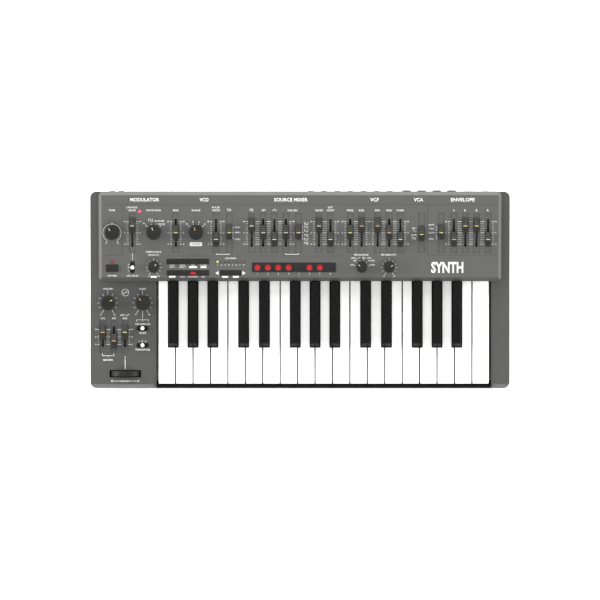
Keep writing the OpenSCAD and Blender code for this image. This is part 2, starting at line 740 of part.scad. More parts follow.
bottom_case();
top_case();
control_panel();
keybed();
circuit_boards();
rear_sockets();
usb_connector();
feet();
screws_and_nuts();
slider_group(sliders, 1);  // sliders_raised
slider_group(sliders, 0);  // sliders_centred
slider_group(sliders, -1);  // sliders_lowered
selector_sliders();
bend_group(true);  // bend_sliders_raised
bend_group(false);  // bend_slider_lowered
toggle_lfo_rate();
toggles_glide_transpose();
bender_wheel();
power_button();
panel_buttons();
for (k = KNOBS) knob(k);
for (i = [0:whites - 1]) white_key(i);
for (i = sharps) black_key(i);
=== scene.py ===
"""Looks of a compact keyboard synthesizer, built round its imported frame.

Lengths are millimetres on the case's own faces and metres in the row frame.
"""
import json
import math

import bmesh
import bpy
import numpy as np
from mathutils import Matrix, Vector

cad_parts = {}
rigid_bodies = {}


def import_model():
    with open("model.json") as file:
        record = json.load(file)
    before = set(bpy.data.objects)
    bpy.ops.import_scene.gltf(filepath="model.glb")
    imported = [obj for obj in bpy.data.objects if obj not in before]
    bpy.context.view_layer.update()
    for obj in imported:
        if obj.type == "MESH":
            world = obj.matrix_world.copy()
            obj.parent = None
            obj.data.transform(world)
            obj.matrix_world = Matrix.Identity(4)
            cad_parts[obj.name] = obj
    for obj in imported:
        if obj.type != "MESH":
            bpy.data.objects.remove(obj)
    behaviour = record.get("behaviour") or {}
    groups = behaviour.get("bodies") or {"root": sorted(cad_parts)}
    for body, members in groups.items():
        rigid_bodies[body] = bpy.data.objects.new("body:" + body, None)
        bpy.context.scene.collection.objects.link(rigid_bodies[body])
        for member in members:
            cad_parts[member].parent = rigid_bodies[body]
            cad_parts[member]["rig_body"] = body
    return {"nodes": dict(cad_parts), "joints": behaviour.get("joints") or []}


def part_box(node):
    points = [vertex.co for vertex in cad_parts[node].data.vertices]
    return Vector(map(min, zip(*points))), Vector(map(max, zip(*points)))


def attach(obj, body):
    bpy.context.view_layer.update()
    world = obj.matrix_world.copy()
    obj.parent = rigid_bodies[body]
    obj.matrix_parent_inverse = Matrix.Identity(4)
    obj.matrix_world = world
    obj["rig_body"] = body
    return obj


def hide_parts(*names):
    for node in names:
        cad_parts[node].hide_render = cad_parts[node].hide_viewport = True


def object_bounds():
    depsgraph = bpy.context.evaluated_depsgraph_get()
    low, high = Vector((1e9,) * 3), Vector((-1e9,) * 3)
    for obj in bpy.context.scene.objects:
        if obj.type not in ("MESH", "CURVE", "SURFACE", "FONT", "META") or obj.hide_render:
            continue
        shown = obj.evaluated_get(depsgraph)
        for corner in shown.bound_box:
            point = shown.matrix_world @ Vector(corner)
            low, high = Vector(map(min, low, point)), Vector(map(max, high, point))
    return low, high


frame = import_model()
cad_bounds = [list(corner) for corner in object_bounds()]

MM = 0.001
JOINTS = {joint["name"]: joint for joint in frame["joints"]}


# ---- Faces of the case ------------------------------------------------------

class Face:
    """A flat face of the case with a millimetre grid: x right, v up the face, h out of it."""

    def __init__(self, origin, up, out):
        self.origin = np.array(origin, float)
        self.basis = np.array([(1.0, 0.0, 0.0), up, out], float)

    def world(self, points):
        """Grid points to the row frame: origin + x right + v up + h out."""
        return np.asarray(points, float) * MM @ self.basis + self.origin

    def local(self, points):
        """Row frame points to the grid, the inverse of world."""
        return (np.asarray(points, float) - self.origin) @ self.basis.T / MM

    def up(self, y):
        """Footprint y to the grid's v: the face rises by its basis, so v = dy / cos(slope)."""
        return (np.asarray(y, float) - self.origin[1] / MM) / self.basis[1, 1]


tune = JOINTS["knob_tune_turn"]
volume = JOINTS["knob_volume_turn"]
panel = Face((0, tune["pos_m"][1], tune["pos_m"][2]),
             JOINTS["sliders_centred_slide"]["axis"], tune["axis"])
deck = Face((0, 0, volume["pos_m"][2]), (0, 1, 0), (0, 0, 1))


def node_points(node):
    """All corner points of a CAD node, in metres."""
    mesh = frame["nodes"][node].data
    points = np.empty(len(mesh.vertices) * 3)
    mesh.vertices.foreach_get("co", points)
    return points.reshape(-1, 3)


def groups_along(values, gap):
    """Splits values into runs parted by more than gap; gives each value its run's number."""
    order = np.argsort(values)
    steps = np.concatenate([[0], np.diff(values[order]) > gap])
    runs = np.empty(len(values), int)
    runs[order] = np.cumsum(steps)
    return runs


def solids_on(node, face, gap=5.0):
    """(x, v) centres on a face of a node's solids that stand side by side along x."""
    points = face.local(node_points(node))
    runs = groups_along(points[:, 0], gap)
    boxes = [points[runs == k] for k in range(runs.max() + 1)]
    return [tuple((box.min(0) + box.max(0))[:2] / 2) for box in boxes]


def knob_centre(name, face):
    """(x, v) of a knob's axis on its face."""
    return tuple(face.local(JOINTS[name + "_turn"]["pos_m"])[:2])


# ---- Meshes -----------------------------------------------------------------

def quads(rows, columns):
    """Faces of a grid of points, row by row, each row's end joined to its start."""
    r, c = np.meshgrid(np.arange(rows - 1), np.arange(columns), indexing="ij")
    a = r * columns + c
    b = r * columns + (c + 1) % columns
    return np.stack([a, b, b + columns, a + columns], -1).reshape(-1, 4).tolist()


def loft(rings):
    """Closed shell through rings of shape (rows, columns, 3), with a flat face on each end."""
    rows, columns, _ = rings.shape
    faces = quads(rows, columns)
    faces.append(list(range(columns))[::-1])
    faces.append([(rows - 1) * columns + k for k in range(columns)])
    return rings.reshape(-1, 3), faces


def lathe(profile, x, v, columns=48, flutes=0, flute_depth=0.0, fluted=(0.0, 0.0)):
    """Profile of (radius, h) turned about an axis at (x, v).

    The radius of each point is profile radius * (1 - depth * (1 + cos(flutes * angle)) / 2)
    where h lies in the fluted band, and the plain profile radius elsewhere.
    """
    profile = np.array(profile, float)
    angle = np.linspace(0, 2 * np.pi, columns, endpoint=False)
    radius = profile[:, :1] * np.ones(columns)
    inside = (profile[:, 1:] >= fluted[0]) & (profile[:, 1:] <= fluted[1])
    radius = radius * (1 - inside * flute_depth * (1 + np.cos(flutes * angle)) / 2)
    height = profile[:, 1:] * np.ones(columns)
    return loft(np.stack([x + radius * np.cos(angle), v + radius * np.sin(angle), height], -1))


def outline(width, length, corner, steps=6):
    """Corner arcs of a rounded rectangle centred on (0, 0), counter-clockwise."""
    corner = min(corner, width / 2 - 0.01, length / 2 - 0.01)
    turn = np.linspace(0, np.pi / 2, steps)
    quarter = np.arange(4)[:, None] * np.pi / 2
    centre_x = (width / 2 - corner) * np.array([1, -1, -1, 1])[:, None]
    centre_y = (length / 2 - corner) * np.array([1, 1, -1, -1])[:, None]
    x = centre_x + corner * np.cos(quarter + turn)
    y = centre_y + corner * np.sin(quarter + turn)
    return np.stack([x.ravel(), y.ravel()], -1)


def pad(x, v, width, length, low, high, corner=0.8, edge=0.5, dish=0.0):
    """Button cap: a rounded rectangle rising from low to high.

    The rim follows a quarter circle of radius edge, and the top sinks by dish at its middle.
    """
    turn = np.linspace(0, np.pi / 2, 5)
    insets = list(edge * (1 - np.cos(turn)))
    heights = list(high - edge + edge * np.sin(turn))
    half = min(width, length) / 2
    for share in (0.25, 0.5, 0.8):
        insets.append(edge + (half - edge) * share)
        heights.append(high - dish * share)
    insets.insert(0, 0)
    heights.insert(0, low)
    rings = []
    for inset, height in zip(insets, heights):
        ring = outline(width - 2 * inset, length - 2 * inset, max(corner - inset * 0.6, 0.05))
        rings.append(np.column_stack([ring + (x, v), np.full(len(ring), height)]))
    return loft(np.array(rings))


def slab(x0, x1, v0, v1, low, high):
    """A thin plate with square edges."""
    ring = np.array([(x0, v0), (x1, v0), (x1, v1), (x0, v1)], float)
    levels = [np.column_stack([ring, np.full(4, h)]) for h in (low, high)]
    return loft(np.array(levels))


class Piece:
    """Collects closed shells on one face of the case, each with a material number."""

    def __init__(self, face):
        self.face = face
        self.points, self.faces, self.numbers, self.count = [], [], [], 0

    def add(self, shell, number=0):
        points, faces = shell
        self.points.append(self.face.world(points))
        self.faces.extend([[k + self.count for k in face] for face in faces])
        self.numbers.extend([number] * len(faces))
        self.count += len(points)
        return self

    def build(self, name, body, slot, materials, replaces=(), smooth=35):
        """Makes the object, points its faces outwards and rides it on its body."""
        mesh = bpy.data.meshes.new(name)
        mesh.from_pydata(np.concatenate(self.points).tolist(), [], self.faces)
        mesh.polygons.foreach_set("material_index", self.numbers)
        for material in materials:
            mesh.materials.append(material)
        shell = bmesh.new()
        shell.from_mesh(mesh)
        bmesh.ops.recalc_face_normals(shell, faces=shell.faces)
        shell.to_mesh(mesh)
        shell.free()
        piece = bpy.data.objects.new(name, mesh)
        bpy.context.scene.collection.objects.link(piece)
        shade(piece, smooth)
        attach(piece, body)
        if replaces:
            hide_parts(*replaces)
        return piece


def shade(piece, degrees):
    """Smooth shading, with edges sharper than the angle kept crisp."""
    mesh = piece.data
    mesh.polygons.foreach_set("use_smooth", [True] * len(mesh.polygons))
    mesh.set_sharp_from_angle(angle=math.radians(degrees))


def rounded_copy(node, width, material, weigh=None, segments=3, second=None, where=None,
                 narrow=0.0):
    """The CAD node's shape with every edge sharper than 25 degrees rounded by a Bevel modifier.

    weigh takes the middles of those edges, in millimetres, and gives each a share of width.
    where takes the middles of the faces and picks those that get the second material.
    narrow takes that many millimetres off the outermost wall on the left and on the right.
    """
    work = bmesh.new()
    work.from_mesh(frame["nodes"][node].data)
    bmesh.ops.remove_doubles(work, verts=work.verts, dist=1e-6)
    bmesh.ops.dissolve_limit(work, angle_limit=math.radians(0.4), use_dissolve_boundaries=False,
                             verts=work.verts, edges=work.edges, delimit=set())
    left = min(v.co.x for v in work.verts) + 0.3 * MM
    right = max(v.co.x for v in work.verts) - 0.3 * MM
    for corner in work.verts:
        corner.co.x += narrow * MM * ((corner.co.x < left) - (corner.co.x > right))
    weights = work.edges.layers.float.new("bevel_weight_edge")
    sharp = [e for e in work.edges if e.is_manifold and e.calc_face_angle() > math.radians(25)]
    middles = np.array([(e.verts[0].co + e.verts[1].co) / 2 for e in sharp]) / MM
    shares = np.ones(len(sharp)) if weigh is None else weigh(middles)
    for edge, share in zip(sharp, shares):
        edge[weights] = share
    mesh = bpy.data.meshes.new(node + "_shell")
    work.to_mesh(mesh)
    work.free()
    mesh.materials.append(material)
    if second:
        mesh.materials.append(second)
        centres = np.array([face.center[:] for face in mesh.polygons]) / MM
        mesh.polygons.foreach_set("material_index", where(centres).astype(int))
    piece = bpy.data.objects.new(node + "_shell", mesh)
    bpy.context.scene.collection.objects.link(piece)
    mesh.polygons.foreach_set("use_smooth", [True] * len(mesh.polygons))
    bevel = piece.modifiers.new("rounding", "BEVEL")
    bevel.width = width * MM
    bevel.segments = segments
    bevel.limit_method = "WEIGHT"
    bevel.use_clamp_overlap = True
    normals = piece.modifiers.new("flat_faces", "WEIGHTED_NORMAL")
    normals.keep_sharp = True
    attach(piece, frame["nodes"][node]["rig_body"])
    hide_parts(node)
    return piece


# ---- Materials --------------------------------------------------------------

def new_material(name):
    material = bpy.data.materials.new(name)
    material.use_nodes = True
    tree = material.node_tree
    tree.nodes.clear()
    output = tree.nodes.new("ShaderNodeOutputMaterial")
    shader = tree.nodes.new("ShaderNodeBsdfPrincipled")
    tree.links.new(shader.outputs["BSDF"], output.inputs["Surface"])
    return material, tree, shader


def noise(tree, scale, detail=3.0):
    """A noise texture on Object coordinates, scale in cells per metre."""
    place = tree.nodes.new("ShaderNodeTexCoord")
    texture = tree.nodes.new("ShaderNodeTexNoise")
    texture.inputs["Scale"].default_value = scale
    texture.inputs["Detail"].default_value = detail
    tree.links.new(place.outputs["Object"], texture.inputs["Vector"])
    return texture.outputs["Fac"]


def spread(tree, value, low, high):
    """Maps a noise value, which stays near 0.3 to 0.7, onto low to high."""
    ranges = tree.nodes.new("ShaderNodeMapRange")
    for socket, number in zip(("From Min", "From Max", "To Min", "To Max"), (0.3, 0.7, low, high)):
        ranges.inputs[socket].default_value = number
    tree.links.new(value, ranges.inputs["Value"])
    return ranges.outputs["Result"]


def moulded(name, colour, rough, grain=0.35, relief=0.2, fade=0.06, coat=0.0, metal=0.0, shine=0.5):
    """Moulded or painted finish: fine grain in relief, slow drifts in tone and in polish."""
    material, tree, shader = new_material(name)
    tone = tree.nodes.new("ShaderNodeMix")
    tone.data_type = "RGBA"
    tone.inputs["A"].default_value = [c * (1 - fade) for c in colour] + [1]
    tone.inputs["B"].default_value = [min(c * (1 + fade), 1) for c in colour] + [1]
    tree.links.new(spread(tree, noise(tree, 28), 0, 1), tone.inputs["Factor"])
    tree.links.new(tone.outputs["Result"], shader.inputs["Base Color"])
    polish = spread(tree, noise(tree, 90), rough - 0.05, rough + 0.05)
    tree.links.new(polish, shader.inputs["Roughness"])
    bump = tree.nodes.new("ShaderNodeBump")
    bump.inputs["Strength"].default_value = relief
    bump.inputs["Distance"].default_value = grain * MM * 0.2
    tree.links.new(noise(tree, 1 / (grain * MM), 1.0), bump.inputs["Height"])
    tree.links.new(bump.outputs["Normal"], shader.inputs["Normal"])
    shader.inputs["Metallic"].default_value = metal
    shader.inputs["Specular IOR Level"].default_value = shine
    shader.inputs["Coat Weight"].default_value = coat
    shader.inputs["Coat Roughness"].default_value = 0.12
    return material


def glowing(name, colour, strength, dark=(0.02, 0.02, 0.02)):
    """Lamp lens whose light falls from its middle to its rim, by the mesh's glow attribute."""
    material, tree, shader = new_material(name)
    attribute = tree.nodes.new("ShaderNodeAttribute")
    attribute.attribute_name = "glow"
    grain = spread(tree, noise(tree, 600), 0.92, 1.0)
    power = tree.nodes.new("ShaderNodeMath")
    power.operation = "MULTIPLY"
    tree.links.new(attribute.outputs["Fac"], power.inputs[0])
    tree.links.new(grain, power.inputs[1])
    mix = tree.nodes.new("ShaderNodeMix")
    mix.data_type = "RGBA"
    mix.inputs["A"].default_value = [0, 0, 0, 1]
    mix.inputs["B"].default_value = [*colour, 1]
    tree.links.new(power.outputs["Value"], mix.inputs["Factor"])
    tree.links.new(mix.outputs["Result"], shader.inputs["Emission Color"])
    shader.inputs["Emission Strength"].default_value = strength
    shader.inputs["Base Color"].default_value = [*dark, 1]
    shader.inputs["Roughness"].default_value = 0.3
    shader.inputs["Specular IOR Level"].default_value = 0.15
    return material


case_paint = moulded("case_plastic", (0.043, 0.043, 0.041), 0.4, grain=0.5, relief=0.15,
                     fade=0.03, shine=0.25)
# Lighter copy of the case plastic: painted light for the panel's tilt toward the lamps; the real panel and
# case share one plastic.
panel_paint_lit_copy = moulded("panel_plastic", (0.053, 0.053, 0.0505), 0.4, grain=0.4, relief=0.1,
                      fade=0.02, shine=0.3)
# Near-black plastic as painted shade: the lip in front of the keys and the key well walls are darkened for
# the shadow of the keys.
lip_painted_shade = moulded("lip_painted_shade_plastic", (0.004, 0.004, 0.004), 0.6, grain=0.6, relief=0.3, shine=0.1)
base_paint = moulded("base_plastic", (0.012, 0.012, 0.0118), 0.55, grain=0.6, relief=0.3,
                     shine=0.3)
ivory = moulded("white_key", (0.71, 0.71, 0.7), 0.22, grain=1.2, relief=0.03, fade=0.01, coat=0.3)
# Dark grey on the white keys' sides: painted shade for the gaps between keys; the real sides are white.
white_key_gap_painted_shade = moulded("white_key_gap_painted_shade", (0.05, 0.05, 0.048), 0.5, grain=0.8, relief=0.05, shine=0.2)
ebony = moulded("black_key", (0.003, 0.003, 0.0032), 0.45, grain=0.25, relief=0.12, fade=0.1,
                shine=0.07)
# Darker, duller copy of the black key plastic for the flanks: painted shade.
ebony_painted_flank_shade = moulded("black_key_painted_flank_shade", (0.0012, 0.0012, 0.0012), 0.7, grain=0.25, relief=0.1,
                     shine=0.02)
cap_black = moulded("cap_plastic", (0.014, 0.014, 0.013), 0.5, grain=0.25, relief=0.2, fade=0.1,
                    shine=0.2)
knob_black = moulded("knob_plastic", (0.0075, 0.0075, 0.007), 0.45, grain=0.25, relief=0.2,
                     fade=0.1, shine=0.15)
button_black = moulded("button_plastic", (0.005, 0.005, 0.005), 0.4, grain=0.3, relief=0.1,
                       shine=0.2)
wheel_black = moulded("wheel_plastic", (0.007, 0.007, 0.007), 0.5, grain=0.3, relief=0.2,
                      shine=0.15)
white_ink = moulded("white_ink", (0.54, 0.54, 0.525), 0.6, grain=0.15, relief=0.1, fade=0.04)
pale_ink = moulded("pale_ink", (0.34, 0.35, 0.31), 0.6, grain=0.15, relief=0.1, fade=0.04)
yellow_ink = moulded("yellow_ink", (0.40, 0.39, 0.12), 0.6, grain=0.15, relief=0.1, fade=0.04)
orange_ink = moulded("orange_ink", (0.44, 0.21, 0.08), 0.6, grain=0.15, relief=0.1, fade=0.04)
red_ink = moulded("red_ink", (0.72, 0.06, 0.045), 0.5, grain=0.15, relief=0.1, fade=0.04)
grey_ink = moulded("grey_ink", (0.42, 0.42, 0.41), 0.6, grain=0.15, relief=0.1, fade=0.04)
# Dark strokes along the panel's recess edges: painted shade.
recess_edge_painted_shade = moulded("groove_shade", (0.026, 0.026, 0.025), 0.6, grain=0.3, relief=0.1, shine=0.2)
silver = moulded("silver_print", (0.5, 0.5, 0.49), 0.3, grain=0.2, relief=0.08, fade=0.12,
                 metal=0.2)
toggle_white = moulded("toggle_tip", (0.86, 0.86, 0.84), 0.18, grain=0.8, relief=0.03, coat=0.5)
rubber = moulded("foot_rubber", (0.02, 0.02, 0.02), 0.85, grain=0.5, relief=0.5)
plated = moulded("plated_steel", (0.38, 0.38, 0.39), 0.36, grain=0.4, relief=0.05, metal=1.0)
sheet_steel = moulded("pressed_steel", (0.35, 0.35, 0.36), 0.4, grain=0.8, relief=0.08, metal=1.0)
board_black = moulded("circuit_board", (0.012, 0.02, 0.015), 0.5, grain=0.8, relief=0.1)
socket_black = moulded("socket_plastic", (0.02, 0.02, 0.021), 0.4, grain=0.3, relief=0.1)
red_light = glowing("red_light", (0.66, 0.012, 0.014), 1.0, dark=(0.006, 0.003, 0.003))
yellow_light = glowing("yellow_light", (1.0, 0.78, 0.22), 1.2)
dark_lens = moulded("dark_lens", (0.02, 0.018, 0.018), 0.2, grain=0.5, relief=0.02)

for node, material in {"keybed": sheet_steel, "circuit_boards": board_black}.items():
    for place in frame["nodes"][node].material_slots:
        place.material = material


# ---- Case -------------------------------------------------------------------

low, high = [np.array(corner) / MM for corner in cad_bounds]


def on_rim(middles):
    """Full rounding within 1.5 mm of the case's outer walls, a light one elsewhere."""
    reach = np.minimum(np.minimum(middles[:, 0] - low[0], high[0] - middles[:, 0]),
                       np.minimum(middles[:, 1] - low[1], high[1] - 2 - middles[:, 1]))
    return np.where(reach < 1.5, 1.0, 0.14)


def painted_key_shadow_faces(centres):
    """The lip in front of the keys and the walls of the key well, which take painted shade for the keys'
    shadow.
    """
    keys_low, keys_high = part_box("key_f2")[0] / MM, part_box("key_c5")[1] / MM
    beside = (centres[:, 0] > keys_low.x - 4) & (centres[:, 0] < keys_high.x + 4)
    return beside & (centres[:, 2] < keys_high.z - 3) & (centres[:, 1] < 20)


# The second material paints shade on the lip and the key well walls.
rounded_copy("top_case", 3.0, case_paint, on_rim, segments=4, second=lip_painted_shade,
             where=painted_key_shadow_faces)
rounded_copy("bottom_case", 1.2, base_paint)
rounded_copy("control_panel", 0.9, panel_paint_lit_copy,
             lambda middles: np.where(np.abs(panel.local(middles * MM)[:, 2]) < 1.5, 0.35, 1.0))

rounded_copy("rear_sockets", 0.3, socket_black)
rounded_copy("screws_and_nuts", 0.3, plated, second=socket_black,
             where=lambda centres: centres[:, 1] > high[1] - 5)
rounded_copy("usb_connector", 0.25, plated)


# ---- Keys -------------------------------------------------------------------

def key_rounding(middles):
    """Wide rounding on the upright front corners, narrow on the other edges."""
    front = middles[:, 1].min()
    upright = (middles[:, 1] < front + 0.5) & (middles[:, 2] > middles[:, 2].min() + 4)
    upright &= middles[:, 2] < middles[:, 2].max() - 4
    return np.where(upright, 1.0, 0.5)


def painted_gap_shade_faces(centres):
    """Faces that look sideways into the gap to the next key, a little below the rounded edges; they take
    painted shade so the gaps between the white keys read dark.
    """
    left, right = centres[:, 0].min(), centres[:, 0].max()
    return (centres[:, 0] < left + 0.4) | (centres[:, 0] > right - 0.4)


def painted_flank_shade_faces(centres):
    """The sloped walls of a black key, outside its flat top, which take a darker, duller copy of the black
    key plastic as painted shade.
    """
    middle = (centres[:, 0].min() + centres[:, 0].max()) / 2
    return np.abs(centres[:, 0] - middle) > 4.6


for node in frame["nodes"]:
    if node.startswith("key_"):
        if "s" in node[4:]:
            rounded_copy(node, 0.7, ebony, second=ebony_painted_flank_shade, where=painted_flank_shade_faces)
        else:
            # White keys: their side faces take painted gap shade.
            rounded_copy(node, 1.4, ivory, key_rounding, second=white_key_gap_painted_shade,
                         where=painted_gap_shade_faces, narrow=0.25)


# ---- Slide controls ---------------------------------------------------------

CAP_HALF = 9.8
CAP_WIDE = 3.7
CAP_CORNER = 1.5
CAP_TOP = 8.1
LINE_WIDE = 5.2
LINE_LONG = 0.85
LEVER_HALF = 0.8


def slide_cap(x, v):
    """Cap carried along v: its section is a rounded-top rectangle of half width w and height t.

    w falls off on a quarter circle near each end. t rises from the ends to a flat ridge in
    the middle, less a row of shallow cosine grooves for the fingertip on each slope.
    """
    along = np.linspace(-CAP_HALF, CAP_HALF, 93)
    away = np.abs(along)
    past = np.clip(away - (CAP_HALF - CAP_CORNER), 0, CAP_CORNER)
    half = CAP_WIDE - CAP_CORNER + np.sqrt(CAP_CORNER ** 2 - past ** 2)
    top = np.interp(away, [0, 1.2, 1.9, 8.4, 9.3, CAP_HALF], [CAP_TOP, CAP_TOP, 7.2, 5.2, 4.6, 3.8])
    ribbed = (away > 2.4) & (away < 8.6)
    top = top - ribbed * 0.16 * (1 - np.cos(2 * np.pi * (away - 2.4) / 1.24))
    turn = np.linspace(0, np.pi / 2, 4)
    edge = 0.6
    side = np.concatenate([[1, 1], 1 - edge / CAP_WIDE * (1 - np.cos(turn))])
    level = np.concatenate([[0, 0.5], 1 - 0.1 * (1 - np.sin(turn))])
    side = np.concatenate([side, -side[::-1]])
    level = np.concatenate([level, level[::-1]])
    draft = 1 - 0.06 * level
    ring_x = x + half[:, None] * side * draft
    ring_h = np.maximum(top[:, None] * level, -0.3 + 0 * ring_x)
    ring_v = v + along[:, None] + 0 * ring_x
    return loft(np.stack([ring_x, ring_v, ring_h], -1))


def sliders(node, body, face, inks):
    """All slide caps of one group, each with its lever and its painted line."""
    piece = Piece(face)
    for (x, v), ink in zip(solids_on(node, face), inks):
        piece.add(slide_cap(x, v))
        piece.add(slab(x - LEVER_HALF, x + LEVER_HALF, v - 2, v + 2, -9, 0.5))
        piece.add(pad(x, v, LINE_WIDE, LINE_LONG, CAP_TOP - 0.3, CAP_TOP + 0.06, corner=0.2,
                      edge=0.05), ink)
    piece.build(node + "_caps", body, "cap_plastic", [cap_black, pale_ink, yellow_ink, orange_ink],
                replaces=[node])


WHITE, YELLOW, ORANGE = 1, 2, 3
sliders("sliders_raised", "sliders_raised", panel,
        [YELLOW, YELLOW, WHITE, ORANGE, ORANGE, YELLOW, YELLOW])
sliders("sliders_centred", "sliders_centred", panel, [YELLOW, WHITE, WHITE, YELLOW, ORANGE])
sliders("sliders_lowered", "sliders_lowered", panel, [YELLOW, WHITE, WHITE, WHITE, ORANGE, WHITE])
sliders("selector_sliders", "selector_sliders", panel, [YELLOW, YELLOW, YELLOW, YELLOW])
sliders("bend_sliders_raised", "bend_sliders_raised", deck, [ORANGE, YELLOW])
sliders("bend_slider_lowered", "bend_slider_lowered", deck, [ORANGE])


# ---- Knobs ------------------------------------------------------------------

POINTERS = {"knob_tune": 34, "knob_waveform": 15, "knob_range": 15, "knob_tempo": -36,
            "knob_fm_source": 45, "knob_fm_amount": -57, "knob_volume": -57, "knob_glide": 35}
KNOB_LIFT = 0.7
KNOB_TOP = 12.7
SHAFT_R = 2.9


def knob(name, face, ink):
    """Turned knob with a fluted skirt, a rolled rim, a slightly dished top and a painted pointer."""
    x, v = knob_centre(name, face)
    lo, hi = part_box(name)
    radius = (hi.x - lo.x) / 2 / MM
    rim = radius * 0.95
    turn = np.linspace(0, np.pi / 2, 6)
    roll = 0.9
    profile = [(0.01, -9.4), (SHAFT_R, -9.4), (SHAFT_R, KNOB_LIFT), (radius - 0.5, KNOB_LIFT),
               (radius, KNOB_LIFT + 0.5), (radius, 2.2), (radius * 0.985, 2.6),
               (radius * 0.975, 6.5), (rim, KNOB_TOP - roll - 0.6)]
    profile += [(rim - roll * (1 - math.cos(t)), KNOB_TOP - roll + roll * math.sin(t)) for t in turn]
    profile += [(rim * 0.82, KNOB_TOP - 0.05), (rim * 0.4, KNOB_TOP - 0.3), (0.01, KNOB_TOP - 0.35)]
    piece = Piece(face)
    piece.add(lathe(profile, x, v, columns=180, flutes=36, flute_depth=0.035,
                    fluted=(2.5, KNOB_TOP - roll - 0.5)))
    angle = math.radians(POINTERS[name])
    line, faces = pad(0, radius * 0.62, 0.85, radius * 0.42, KNOB_TOP - 0.5, KNOB_TOP + 0.0,
                      corner=0.3, edge=0.08)
    cos, sin = math.cos(angle), math.sin(angle)
    turned = np.column_stack([x + line[:, 0] * cos - line[:, 1] * sin,
                              v + line[:, 0] * sin + line[:, 1] * cos, line[:, 2]])
    piece.add((turned, faces), 1)
    piece.build(name + "_body", name, "knob_plastic", [knob_black, ink], replaces=[name])


KNOB_INKS = {"knob_range": orange_ink, "knob_volume": yellow_ink, "knob_glide": orange_ink}
for name in POINTERS:
    on_deck = name in ("knob_volume", "knob_glide")
    knob(name, deck if on_deck else panel, KNOB_INKS.get(name, pale_ink))


# ---- Toggles and the bender -------------------------------------------------

def toggle(piece, x, v):
    """Lever turned about its own length: a waisted stem that flows into a round tip."""
    turn = np.linspace(-1.1, np.pi / 2, 12)
    stem = [(0.01, -6), (1.2, -6), (1.2, -2), (1.1, 1.5)]
    tip = [(max(2.5 * math.cos(t), 0.01), 5 + 2.5 * math.sin(t)) for t in turn]
    piece.add(lathe(stem + tip, x, v, columns=32))
    piece.add(lathe([(0.01, -7.8), (1.8, -7.8), (1.8, -4.4), (0.01, -4.4)], x, v, columns=24))


lfo = Piece(panel)
for x, v in solids_on("toggle_lfo_rate", panel):
    toggle(lfo, x, v)
lfo.build("toggle_lfo_lever", "toggle_lfo_rate", "toggle_tip", [toggle_white],
          replaces=["toggle_lfo_rate"])

glide_x = solids_on("toggles_glide_transpose", deck, gap=60)[0][0]
points = deck.local(node_points("toggles_glide_transpose"))
rows = groups_along(points[:, 1], 8)
deck_levers = Piece(deck)
DECK_TOGGLES = [(glide_x, (points[rows == k, 1].min() + points[rows == k, 1].max()) / 2)
                for k in range(rows.max() + 1)]
for x, v in DECK_TOGGLES:
    toggle(deck_levers, x, v)
deck_levers.build("toggle_deck_levers", "toggles_glide_transpose", "toggle_tip", [toggle_white],
                  replaces=["toggles_glide_transpose"])

rounded_copy("bender_wheel", 0.5, wheel_black)


# ---- Buttons ----------------------------------------------------------------

button_points = panel.local(node_points("panel_buttons"))
button_low = button_points[:, 2].min()
button_high = button_points[:, 2].max()


def button_cells():
    """(x, v, width, length) of each button's box on the panel, found from the node's solids."""
    work = bmesh.new()
    work.from_mesh(frame["nodes"]["panel_buttons"].data)
    bmesh.ops.remove_doubles(work, verts=work.verts, dist=1e-6)
    cells, left = [], set(work.verts)
    while left:
        island, edge = set(), [left.pop()]
        while edge:
            corner = edge.pop()
            island.add(corner)
            found = {e.other_vert(corner) for e in corner.link_edges} & left
            left -= found
            edge.extend(found)
        box = panel.local([v.co[:] for v in island])
        lo, hi = box.min(0), box.max(0)
        cells.append(((lo[0] + hi[0]) / 2, (lo[1] + hi[1]) / 2, hi[0] - lo[0], hi[1] - lo[1]))
    work.free()
    return sorted(cells)


CELLS = button_cells()
steps = [c for c in CELLS if c[3] > 9]
small = [c for c in CELLS if c[3] < 9]
LIT_STEPS = (0, 1, 2, 3, 5, 6)
STEP_GLOW = 9.4
low_row = min(c[1] for c in small)
function_low = [c for c in small if c[1] < low_row + 3 and c[0] < -115]
lit_function = function_low[2]


def lamp(piece, x, v, wide, long, base, rise, number):
    """Shallow dome: height base + rise * (1 - t^2) over an ellipse, t from 1 at the rim to 0."""
    t = np.linspace(1, 0.02, 9)
    angle = np.linspace(0, 2 * np.pi, 32, endpoint=False)
    x_ring = x + wide / 2 * t[:, None] * np.cos(angle)
    v_ring = v + long / 2 * t[:, None] * np.sin(angle)
    h_ring = base + rise * (1 - t[:, None] ** 2) + 0 * angle
    foot = np.stack([x_ring[0], v_ring[0], np.full(32, base - 0.4)], -1)
    rings = np.concatenate([foot[None], np.stack([x_ring, v_ring, h_ring], -1)])
    piece.add(loft(rings), number)
    return np.repeat(np.concatenate([[1.0], t]), 32)


def set_glow(obj, values):
    """Stores 1 at a lamp's middle and 0 at its rim as the glow attribute."""
    glow = obj.data.attributes.new("glow", "FLOAT", "POINT")
    glow.data.foreach_set("value", np.asarray(values, np.float32))


